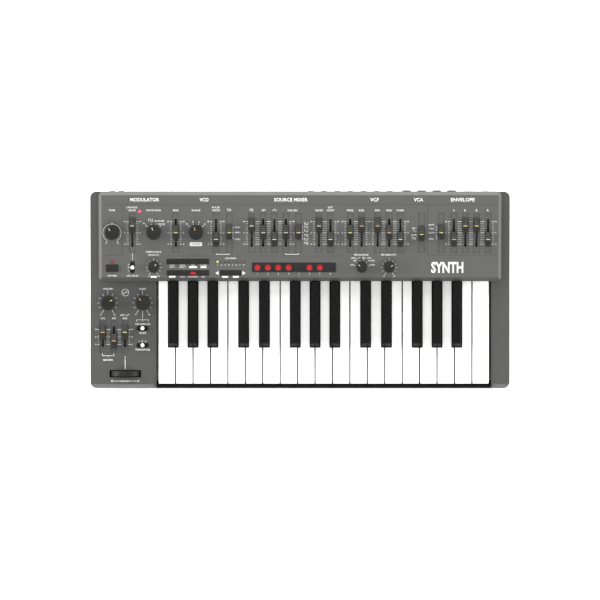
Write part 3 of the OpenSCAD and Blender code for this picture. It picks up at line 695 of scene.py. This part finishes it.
buttons = Piece(panel)
falloff = []
for x, v, width, length in CELLS:
    shell = pad(x, v, width, length, button_low, button_high - 0.3, corner=0.9, edge=0.45, dish=0.15)
    buttons.add(shell)
    falloff.append(np.zeros(len(shell[0])))
for k in LIT_STEPS:
    x, v, width, length = steps[k]
    t = lamp(buttons, x, v, STEP_GLOW, STEP_GLOW, button_high - 0.42, 0.4, 1)
    falloff.append(np.clip((1 - t) * 3.2, 0, 1) ** 1.6)
x, v, width, length = lit_function
t = lamp(buttons, x, v, 11, 5, button_high - 0.42, 0.4, 1)
falloff.append(np.clip((1 - t) * 2.0, 0, 1) ** 1.5)
caps = buttons.build("button_caps", "panel_buttons", "button_plastic", [button_black, red_light],
                     replaces=["panel_buttons"])
set_glow(caps, np.concatenate(falloff))

power_box = panel.local(node_points("power_button"))
power_lo, power_hi = power_box.min(0), power_box.max(0)
power = Piece(panel)
power.add(pad((power_lo[0] + power_hi[0]) / 2, (power_lo[1] + power_hi[1]) / 2,
              power_hi[0] - power_lo[0], power_hi[1] - power_lo[1], power_lo[2], power_hi[2],
              corner=1.6, edge=0.7, dish=0.25))
power.build("power_cap", "power_button", "button_plastic", [button_black], replaces=["power_button"])


# ---- Lamps ------------------------------------------------------------------

LED_V = float(panel.up(37.1))
POWER_LED_V = float(panel.up(36.6))
LED_WIDE = 3.8
LED_X0 = -111
LED_PITCH = 5.03
POWER_LED_X = -253
lamps = Piece(panel)
falloff = [1 - lamp(lamps, POWER_LED_X, POWER_LED_V, LED_WIDE, LED_WIDE, 0.45, 0.6, 1) ** 4]
falloff.append(1 - lamp(lamps, LED_X0, LED_V, LED_WIDE, LED_WIDE, 0.45, 0.6, 2) ** 4)
for k in range(1, 8):
    falloff.append(1 - lamp(lamps, LED_X0 + k * LED_PITCH, LED_V, 3.2, 3.2, 0.45, 0.6, 0))
lenses = lamps.build("panel_lamps", "case", "circuit_board", [dark_lens, red_light, yellow_light])
set_glow(lenses, np.concatenate(falloff))


# ---- Feet -------------------------------------------------------------------

feet = Piece(Face((0, 0, 0), (0, 1, 0), (0, 0, 1)))
foot_box = node_points("feet") / MM
for side in (-1, 1):
    for end in (-1, 1):
        mine = foot_box[(foot_box[:, 0] * side > 0) & (foot_box[:, 1] * end > 0)]
        lo, hi = mine.min(0), mine.max(0)
        r = (hi[0] - lo[0]) / 2
        tall = hi[2] - lo[2]
        foot = [(0.01, 0.5), (r * 0.55, 0.5), (r * 0.65, 0), (r - 1, 0), (r - 0.3, 0.3), (r, 1),
                (r, tall - 0.05), (0.01, tall - 0.05)]
        feet.add(lathe(foot, (lo[0] + hi[0]) / 2, (lo[1] + hi[1]) / 2, columns=48))
feet.build("rubber_feet", "case", "foot_rubber", [rubber], replaces=["feet"])


# ---- Printing, and painted recess edge shade --------------------------------

INK_LOW = -0.03
INK_HIGH = 0.06
CAP_HEIGHT = 0.682
WHITE_INK, RED_INK, RECESS_EDGE_SHADE, GREY_INK, DARK_INK, SILVER = range(6)


class Print(Piece):
    """Ink on a face, and dark strokes of painted shade along recess edges: flat closed strips and letters
    that stand just proud of it.

    Places are (x, y) of the row frame's footprint, in millimetres.
    """

    def __init__(self, face):
        super().__init__(face)
        self.rise = face.basis[1]

    def up(self, y):
        return self.face.up(y)

    def stroke(self, points, width=0.35, ink=WHITE_INK, high=INK_HIGH):
        """A strip along a line: at each point, half the width to each side of the mean heading."""
        line = np.array(points, float)
        line[:, 1] = self.up(line[:, 1])
        step = np.diff(line, axis=0)
        step /= np.linalg.norm(step, axis=1)[:, None]
        lead = np.vstack([step[:1], step])
        trail = np.vstack([step, step[-1:]])
        heading = lead + trail
        heading /= np.linalg.norm(heading, axis=1)[:, None]
        reach = width / 2 / np.maximum((heading * lead).sum(1), 0.4)
        side = np.column_stack([-heading[:, 1], heading[:, 0]]) * reach[:, None]
        left, right = line + side, line - side
        corners = [np.column_stack([edge, np.full(len(line), h)])
                   for edge, h in ((left, INK_LOW), (right, INK_LOW), (right, high), (left, high))]
        self.add(loft(np.stack(corners, 1)), ink)

    def bar(self, x0, x1, y, width=0.35, ink=WHITE_INK):
        self.stroke([(x0, y), (x1, y)], width, ink)

    def box(self, x, y, width, height, ink=WHITE_INK, corner=0.6, high=INK_HIGH):
        """A filled rounded rectangle."""
        ring = outline(width, height, corner, 4) + (x, self.up(y))
        levels = [np.column_stack([ring, np.full(len(ring), h)]) for h in (INK_LOW, high)]
        self.add(loft(np.array(levels)), ink)

    def arc(self, x, y, radius, start, end, width=0.4, ink=WHITE_INK):
        """Part of a ring round (x, y), angles clockwise from +Y in degrees."""
        turn = np.radians(np.linspace(start, end, 49))
        lift = radius * np.cos(turn) * self.rise[1]
        self.stroke(np.column_stack([x + radius * np.sin(turn), y + lift]), width, ink)

    def spoke(self, x, y, angle, inner, outer, width=0.35, ink=WHITE_INK):
        """A radial tick round (x, y), angle clockwise from +Y in degrees."""
        turn = math.radians(angle)
        self.stroke([(x + r * math.sin(turn), y + r * math.cos(turn) * self.rise[1])
                     for r in (inner, outer)], width, ink)

    def polar(self, x, y, angle, radius):
        turn = math.radians(angle)
        return x + radius * math.sin(turn), y + radius * math.cos(turn) * self.rise[1]

    def text(self, words, x, y, height=2.1, width=None, ink=WHITE_INK, bold=0.004, high=INK_HIGH):
        """Letters centred on a point, as tall as height and, where it is given, width wide."""
        curve = bpy.data.curves.new("letters", "FONT")
        curve.body = words
        curve.resolution_u = 2
        curve.extrude = 0.5
        curve.offset = bold
        holder = bpy.data.objects.new("letters", curve)
        mesh = bpy.data.meshes.new_from_object(holder)
        work = bmesh.new()
        work.from_mesh(mesh)
        bmesh.ops.remove_doubles(work, verts=work.verts, dist=1e-4)
        points = np.array([v.co[:] for v in work.verts])
        faces = [[v.index for v in face.verts] for face in work.faces]
        work.free()
        for block, data in ((bpy.data.objects, holder), (bpy.data.curves, curve),
                            (bpy.data.meshes, mesh)):
            block.remove(data)
        low_x, high_x = points[:, 0].min(), points[:, 0].max()
        scale = height / CAP_HEIGHT
        stretch = width / (high_x - low_x) if width else scale
        placed = np.column_stack([
            x + (points[:, 0] - (low_x + high_x) / 2) * stretch,
            self.up(y) + (points[:, 1] - CAP_HEIGHT / 2) * scale,
            np.where(points[:, 2] > 0, high, INK_LOW)])
        self.add((placed, faces), ink)


inks_and_painted_shade = [white_ink, red_ink, recess_edge_painted_shade, grey_ink, ebony, silver]
art = Print(panel)
SLIDE_Y = 75.9
DIAL_Y = 75.7
SMALL_DIAL_Y = 29.4
TICK_PITCH = 3.03
SLIDER_XS = [-225.5, -167, -113, -65, -49.5, -34.5, -19, 25.5, 41, 67.5, 83, 104.5, 120, 135,
             207, 222.5, 237.5, 253]
OUTER = 8.0
INNER = 4.9
NUMBER_OUT = 2.4


def scales():
    """Eleven ticks beside each slide control, joined between close neighbours."""
    for at, x in enumerate(SLIDER_XS):
        left = x - SLIDER_XS[at - 1] if at else 99
        right = SLIDER_XS[at + 1] - x if at + 1 < len(SLIDER_XS) else 99
        for step in range(-5, 6):
            y = SLIDE_Y + step * TICK_PITCH
            major = step % 5 == 0
            width = 0.5 if major else 0.27
            reach = OUTER
            if left > 18:
                art.bar(x - reach, x - INNER, y, width)
            if right > 18:
                art.bar(x + INNER, x + reach, y, width)
            else:
                art.bar(x + INNER, x + right - INNER, y, width)
            if major:
                number = str(step + 5)
                if left > 22:
                    art.text(number, x - OUTER - NUMBER_OUT, y, 2.0)
                if right > 18:
                    art.text(number, x + OUTER + NUMBER_OUT, y, 2.0)


def dial(ink_print, x, y, inner, outer, far, top, numbers_at, size=1.9):
    """Eleven ticks 30 degrees apart, the end ticks longer, with 0 and 10 beyond them."""
    for step in range(-5, 6):
        end = far if abs(step) == 5 else top if step == 0 else outer
        ink_print.spoke(x, y, step * 30, inner, end, 0.4)
    for number, angle in (("0", -150), ("10", 150)):
        px, py = ink_print.polar(x, y, angle, numbers_at)
        ink_print.text(number, px, py, size)


def pulse(ink_print, x, y, w=4.6, h=2.6, narrow=False):
    """One period of a pulse wave."""
    cut = 0.18 if narrow else 0.0
    path = [(-0.5, -0.5), (-0.5, 0.5), (-cut, 0.5), (-cut, -0.5), (0.35, -0.5), (0.35, 0.5),
            (0.5, 0.5)]
    ink_print.stroke([(x + a * w, y + b * h) for a, b in path], 0.45)


def saw(ink_print, x, y, w=5.0, h=2.8):
    """Two teeth of a saw wave."""
    path = [(-0.5, -0.5), (0, 0.5), (0, -0.5), (0.5, 0.5), (0.5, -0.5)]
    ink_print.stroke([(x + a * w, y + b * h) for a, b in path], 0.4)


def triangle_wave(ink_print, x, y, w=5.4, h=2.6):
    """One peak of a triangle wave."""
    path = [(-0.5, -0.5), (0, 0.5), (0.5, -0.5)]
    ink_print.stroke([(x + a * w, y + b * h) for a, b in path], 0.45)


def sine(ink_print, x, y, w=4.4, h=2.0, width=0.4):
    """One period of a sine wave: y + h / 2 * sin(turn), for turn from -pi to pi."""
    turn = np.linspace(-np.pi, np.pi, 25)
    ink_print.stroke(np.column_stack([x + turn / np.pi * w / 2, y + np.sin(turn) * h / 2]), width)


HEADING_Y = 120.4
HEADINGS = (("MODULATOR", -208.8, 38.6), ("VCO", -129, 12), ("SOURCE MIXER", -12.2, 45),
            ("VCF", 100.2, 11.5), ("VCA", 159.3, 12.5), ("ENVELOPE", 218.9, 32))
for words, x, width in HEADINGS:
    art.text(words, x, HEADING_Y, 4.5, width, bold=0.015)

LABEL_Y = 106.1
for words, x, width in (("TUNE", -253, 8.6), ("WAVE FORM", -197.2, 19.6), ("MOD", -167, 7.4),
                        ("RANGE", -139.8, 11.4), ("SUB OSC", -9.8, 13.8), ("NOISE", 25.4, 10),
                        ("FREQ", 67.5, 8.6), ("RES", 82.6, 6.6), ("ENV", 104.3, 6.6),
                        ("MOD", 119.8, 7.2), ("KYBD", 135, 9.2), ("A", 206.8, 2.2),
                        ("D", 222.1, 2.2), ("S", 237.4, 2.2), ("R", 252.7, 2.2)):
    art.text(words, x, LABEL_Y, 2.3 if len(words) > 1 else 2.8, width)
TWO_LINE_LABELS = (("LFO/CLK", "RATE", -225.6, 14, 9), ("PULSE", "WIDTH", -113, 10, 10.8),
                   ("EXT", "AUDIO", 41, 6.2, 10.4))
for upper, lower, x, wide, narrow in TWO_LINE_LABELS:
    art.text(upper, x, LABEL_Y + 3.9, 2.2, wide)
    art.text(lower, x, LABEL_Y, 2.2, narrow)
art.stroke([(-217.6, 103.9), (-213.4, 103.9)], 0.9, RED_INK)
for lift, reach in ((0.9, 1.65), (1.7, 1.1), (2.5, 0.55)):
    art.bar(-215.5 - reach, -215.5 + reach, 103.9 + lift, 0.9, RED_INK)
pulse(art, -95.2, LABEL_Y + 0.5)
pulse(art, -65, LABEL_Y + 0.5)
saw(art, -49.5, LABEL_Y + 0.4)
triangle_wave(art, -34.4, LABEL_Y + 0.4)

scales()

art.arc(-253, DIAL_Y, 12.3, -147, 147, 0.5, GREY_INK)
art.spoke(-253, DIAL_Y, 0, 11.6, 14.2, 0.6)
for angle, sign in ((-150, 0), (150, 1)):
    art.spoke(-253, DIAL_Y, angle, 12.6, 15.4, 0.45)
    px, py = art.polar(-253, DIAL_Y, angle, 16.4)
    art.bar(px - 0.9, px + 0.9, py, 0.5)
    if sign:
        art.stroke([(px, py - 0.9), (px, py + 0.9)], 0.5)

for x in (-197, -140):
    for angle, end in ((-45, 15.5), (-15, 13.4), (15, 13.4), (45, 15.5)):
        art.spoke(x, DIAL_Y, angle, 11.6, end, 0.5)
triangle_wave(art, -210.3, 88.6, 4.2, 2.0)
pulse(art, -200.7, 92.6, 6.0, 3.2)
art.text("RANDOM", -189.6, 91.8, 2.0, 12.4)
art.text("NOISE", -186.4, 87.6, 2.0, 8.8)
for number, angle, radius in (("16", -45, 17.6), ("8", -15, 15.6), ("4", 15, 15.6), ("2", 45, 17.2)):
    px, py = art.polar(-140, DIAL_Y, angle, radius)
    art.text(number, px, py, 2.1)
art.box(-140, 60.6, 16.6, 5.2, GREY_INK, 1.4)
art.text("OCTAVE", -140, 60.6, 2.1, 12, DARK_INK, high=INK_HIGH + 0.03)

art.text("TEMPO/GATE", -197.3, 50.2, 2.2, 21)
art.text("LENGTH", -197.3, 46.2, 2.2, 14)
dial(art, -197, SMALL_DIAL_Y, 8.6, 10.6, 12.0, 12.4, 13.8)
art.box(-197, 16.8, 8.4, 2.4, WHITE_INK, 0.3)
dial(art, 120, SMALL_DIAL_Y, 8.6, 10.4, 12.0, 10.4, 13.8)
art.text("5", 120, 41.4, 1.9)
for angle in (-75, -45, -15, 15, 45, 75):
    art.spoke(83, SMALL_DIAL_Y, angle, 8.6, 10.2, 0.45)
art.text("FM SOURCE", 82.6, 46.4, 2.2, 19.2)
art.text("FM AMOUNT", 119.4, 46.4, 2.2, 20)
art.text("LFO", 72.0, 42.0, 1.8, 6.0)
sine(art, 78.6, 42.0, 4.6, 1.8)
pulse(art, 86.0, 42.0, 3.6, 1.8)
art.text("VCO", 93.0, 42.0, 1.8, 6.0)
saw(art, 73.6, 38.6, 3.8, 1.8)
art.text("NOISE", 96.2, 38.6, 1.8, 8.4)
art.text("SUB", 70.2, 32.9, 1.8, 5)
art.text("RAND", 97.4, 32.9, 1.8, 7)

art.bar(-112.6, -95.4, 47.0, 0.5)
art.bar(-19.2, -1.9, 47.0, 0.5)
for x in (-112.6, -95.4, -19.2, -1.9):
    art.stroke([(x, 46.8), (x, 48.6)], 0.5)
for words, y in (("ENV", 83.2), ("MAN", SLIDE_Y + 0.5), ("LFO", 67.2)):
    art.text(words, -83.8, y, 2.0, 6.4)
art.stroke([(-88.7, 84.4), (-90.2, 84.4), (-90.2, 67.8), (-88.7, 67.8)], 0.35)
art.bar(-91.2, -88.7, SLIDE_Y + 0.4, 0.35)
for y, narrow in ((88.2, True), (83.6, False), (78.6, True), (72.6, False), (67.4, True), (62.0, False)):
    pulse(art, 8.6, y, 5.4, 2.6, narrow)
art.stroke([(4.6, 84.4), (3.1, 84.4), (3.1, 67.8), (4.6, 67.8)], 0.35)
art.bar(3.1, 5.0, SLIDE_Y + 0.4, 0.35)
art.text("ENV", 153.8, 82.0, 2.0, 5.6)
art.stroke([(151.5, 78.4), (153.2, 80.0), (154.8, 77.6), (156.4, 77.2)], 0.4)
art.text("GATE", 153.2, 72.8, 2.0, 7.4)
pulse(art, 153.4, 68.4, 5.0, 2.2)
for words, y, width in (("GATE", 86.7, 7.6), ("+TRIG", 81.6, 7.8), ("GATE", 76.0, 7.6), ("LFO", 67.9, 5.8)):
    art.text(words, 176.6, y, 2.0, width)
art.stroke([(182.1, 84.6), (183.9, 84.0), (183.9, 79.4), (182.1, 78.8)], 0.35)
art.stroke([(182.1, 72.4), (183.9, 71.8), (183.9, 67.9), (182.1, 67.5)], 0.35)
art.bar(181.6, 184.6, 76.0, 0.35)

art.stroke([(-225.5, 48.3), (-225.5, 38.8)], 0.5, GREY_INK)
for letters, y in (("H", 33.4), ("M", 29.5), ("L", 25.2)):
    art.text(letters, -230.8, y, 1.7)
art.text("POWER", -252.8, 18.2, 2.2, 12)
art.text("LFO RATE", -225.6, 18.2, 2.2, 15)
FUNCTIONS = ((-172, "NOTE", "REST"), (-158, "BEND", "SELECT"), (-144, "ARP", None), (-130, "PATTERN", None))
for x, upper, lower in FUNCTIONS:
    art.text(upper, x, 32.3, 1.6, min(1.65 * len(upper), 8.6))
    if lower:
        art.text(lower, x, 29.8, 1.6, min(1.65 * len(lower), 8.6))
    else:
        art.box(x, 29.8, 10.6 if upper == "ARP" else 7.8, 2.3, WHITE_INK, 0.3)
art.box(-172, 16.9, 8.8, 2.4, WHITE_INK, 0.3)
for x, words, width in ((-158, "HOLD", 6), (-144, "PLAY/STOP", 13), (-130, "REC", 5)):
    art.text(words, x, 16.9, 1.8, width)
art.text("LOCATION", -93.4, 41.7, 2.0, 14.2)
for k in range(8):
    art.text(str(k + 1), LED_X0 + k * LED_PITCH, 32.8, 1.9)
    art.text(str(k + 1), -57.3 + 14 * k, 21.0, 2.1)
for side, x in ((-1, -111.2), (1, -76.0)):
    for k in range(5):
        at = x + side * (2.0 - 0.8 * k)
        art.stroke([(at, 21.9 - 0.35 - 0.5 * k), (at, 21.9 + 0.35 + 0.5 * k)], 0.82)
for x in (-100.9, -86.4):
    art.box(x, 16.8, 8.2, 2.5, WHITE_INK, 0.5)

art.text("SYNTH", 198.2, 29.4, 13.6, 43.4, SILVER, bold=0.035, high=0.2)

# Dark strokes along the panel's recess edges: painted shade.
for x0, x1, y in ((-266, 171.3, 114.0), (171.3, 265.6, 113.6), (-264.6, -238.8, 45.6), (-181, -80, 44.8),
                  (-72, 60, 44.8), (171.3, 265.6, 45.9)):
    art.bar(x0, x1, y, 0.35, RECESS_EDGE_SHADE)
for x in (-238.8, 171.3):
    art.stroke([(x, 113.4), (x, 46.4)], 0.35, RECESS_EDGE_SHADE)
art.build("panel_print", "case", "panel_plastic", inks_and_painted_shade)

low_art = Print(deck)
dial(low_art, -259.3, -18.3, 11.4, 13.8, 16.2, 16.6, 18.3)
dial(low_art, -212.3, -18.3, 11.4, 13.8, 16.2, 16.6, 18.3)
low_art.text("VOLUME", -259.2, 0.6, 2.2, 13)
low_art.text("GLIDE", -212.3, 0.6, 2.2, 9.4)
low_art.arc(-235.6, -4.4, 4.6, -180, 179, 0.4)
sine(low_art, -235.6, -4.4, 6.2, 3.4, 0.5)
low_art.stroke([(-212.3, -29.4), (-212.3, -43.6)], 0.5, GREY_INK)
low_art.stroke([(-220.4, -43.8), (-220.4, -41.2), (-204.2, -41.2), (-204.2, -43.8)], 0.45, GREY_INK)
for words, x, y, width in (("OFF AUTO ON", -212.3, -47.0, 20.2), ("GLIDE", -212.3, -59.0, 9.2),
                           ("L   M   H", -212.3, -70.2, 9.4), ("TRANSPOSE", -212.3, -81.5, 20),
                           ("VCO", -266, -39.3, 5.8), ("VCF", -251, -39.3, 5.4), ("MOD", -236, -39.3, 6),
                           ("BENDER", -258.7, -95.3, 13.2)):
    low_art.text(words, x, y, 2.2, width)
low_art.text("LFO", -239.2, -34.8, 2.1, 6)
sine(low_art, -232.4, -34.8, 5, 2.2)
BEND_XS = (-266, -251, -236)
for number, y in (("10", -54.1), ("5", -64.2), ("0", -74.4)):
    low_art.bar(-266 - 7.4, -266 - INNER, y, 0.5)
    low_art.bar(-236 + INNER, -236 + 7.4, y, 0.5)
    for x in BEND_XS[:2]:
        low_art.bar(x + INNER, x + 15 - INNER, y, 0.5)
    low_art.text(number, -236 + 9.6, y, 1.9)
    low_art.text(number, -266 - 9.3, y, 1.9, 1.4 if len(number) < 2 else 2.6)
for k in range(11):
    if k % 5:
        for x0, x1 in ((-272.6, -270.9), (-260.6, -256.4), (-245.6, -241.4), (-231.1, -229.2)):
            low_art.bar(x0, x1, -74.4 + 2.03 * k, 0.22, GREY_INK)
low_art.stroke([(-266.4, -86.4), (-266.4, -89.6), (-251, -89.6), (-251, -86.4)], 0.5)
low_art.stroke([(-258.7, -89.6), (-258.7, -91.4)], 0.45)
low_art.stroke([(-235.8, -94.0), (-235.8, -107.6)], 0.9, GREY_INK)
low_art.text("0", -235.8, -91.6, 2.1)
low_art.bar(-252, -242, -123.8, 0.45)
low_art.bar(-229.6, -219.6, -123.8, 0.45)
for side, x in ((-1, -253.6), (1, -218.0)):
    for k in range(3):
        at = x + side * (0.9 - 0.6 * k)
        low_art.stroke([(at, -123.8 - 0.3 - 0.4 * k), (at, -123.8 + 0.3 + 0.4 * k)], 0.62)
low_art.text("BENDER", -235.8, -123.8, 2.1, 11.6)
low_art.build("deck_print", "case", "case_plastic", inks_and_painted_shade)


# ---- Stage, light and camera ------------------------------------------------

def stage():
    """Pale floor, four large soft lamps in a bright room, and a camera straight above."""
    mesh = bpy.data.meshes.new("floor")
    mesh.from_pydata([(-6, -6, 0), (6, -6, 0), (6, 6, 0), (-6, 6, 0)], [], [(0, 1, 2, 3)])
    floor = bpy.data.objects.new("floor", mesh)
    bpy.context.scene.collection.objects.link(floor)
    mesh.materials.append(moulded("floor_paint", (0.86, 0.86, 0.86), 0.9, grain=4, relief=0.0,
                                  fade=0.005))

    def area(name, place, size, power):
        light = bpy.data.lights.new(name, "AREA")
        light.shape = "RECTANGLE"
        light.size, light.size_y = size
        light.energy = power
        lamp_object = bpy.data.objects.new(name, light)
        bpy.context.scene.collection.objects.link(lamp_object)
        lamp_object.location = place
        aim = -lamp_object.location
        lamp_object.rotation_euler = aim.to_track_quat("-Z", "Y").to_euler()

    area("soft_rear", (-0.2, 2.3, 1.0), (2.6, 0.8), 90)
    area("soft_left", (-2.4, 0.4, 0.9), (2.2, 0.8), 110)
    area("soft_right", (2.4, 0.4, 0.9), (2.2, 0.8), 85)
    area("soft_front", (0, -1.9, 2.6), (3.0, 1.4), 55)
    world = bpy.data.worlds.new("room")
    world.use_nodes = True
    world.node_tree.nodes["Background"].inputs["Color"].default_value = (1, 1, 1, 1)
    world.node_tree.nodes["Background"].inputs["Strength"].default_value = 1.0
    bpy.context.scene.world = world

    view_width = 0.8085
    lens = bpy.data.cameras.new("view")
    lens.sensor_width = 36
    lens.lens = 400
    camera = bpy.data.objects.new("view", lens)
    bpy.context.scene.collection.objects.link(camera)
    middle_z = 0.06
    below_centre = -0.01445
    camera.location = (0, below_centre, middle_z + view_width * lens.lens / lens.sensor_width)
    camera.rotation_euler = (0, 0, 0)
    lens.clip_end = 50
    bpy.context.scene.camera = camera
    bpy.context.scene.view_settings.view_transform = "Standard"


stage()
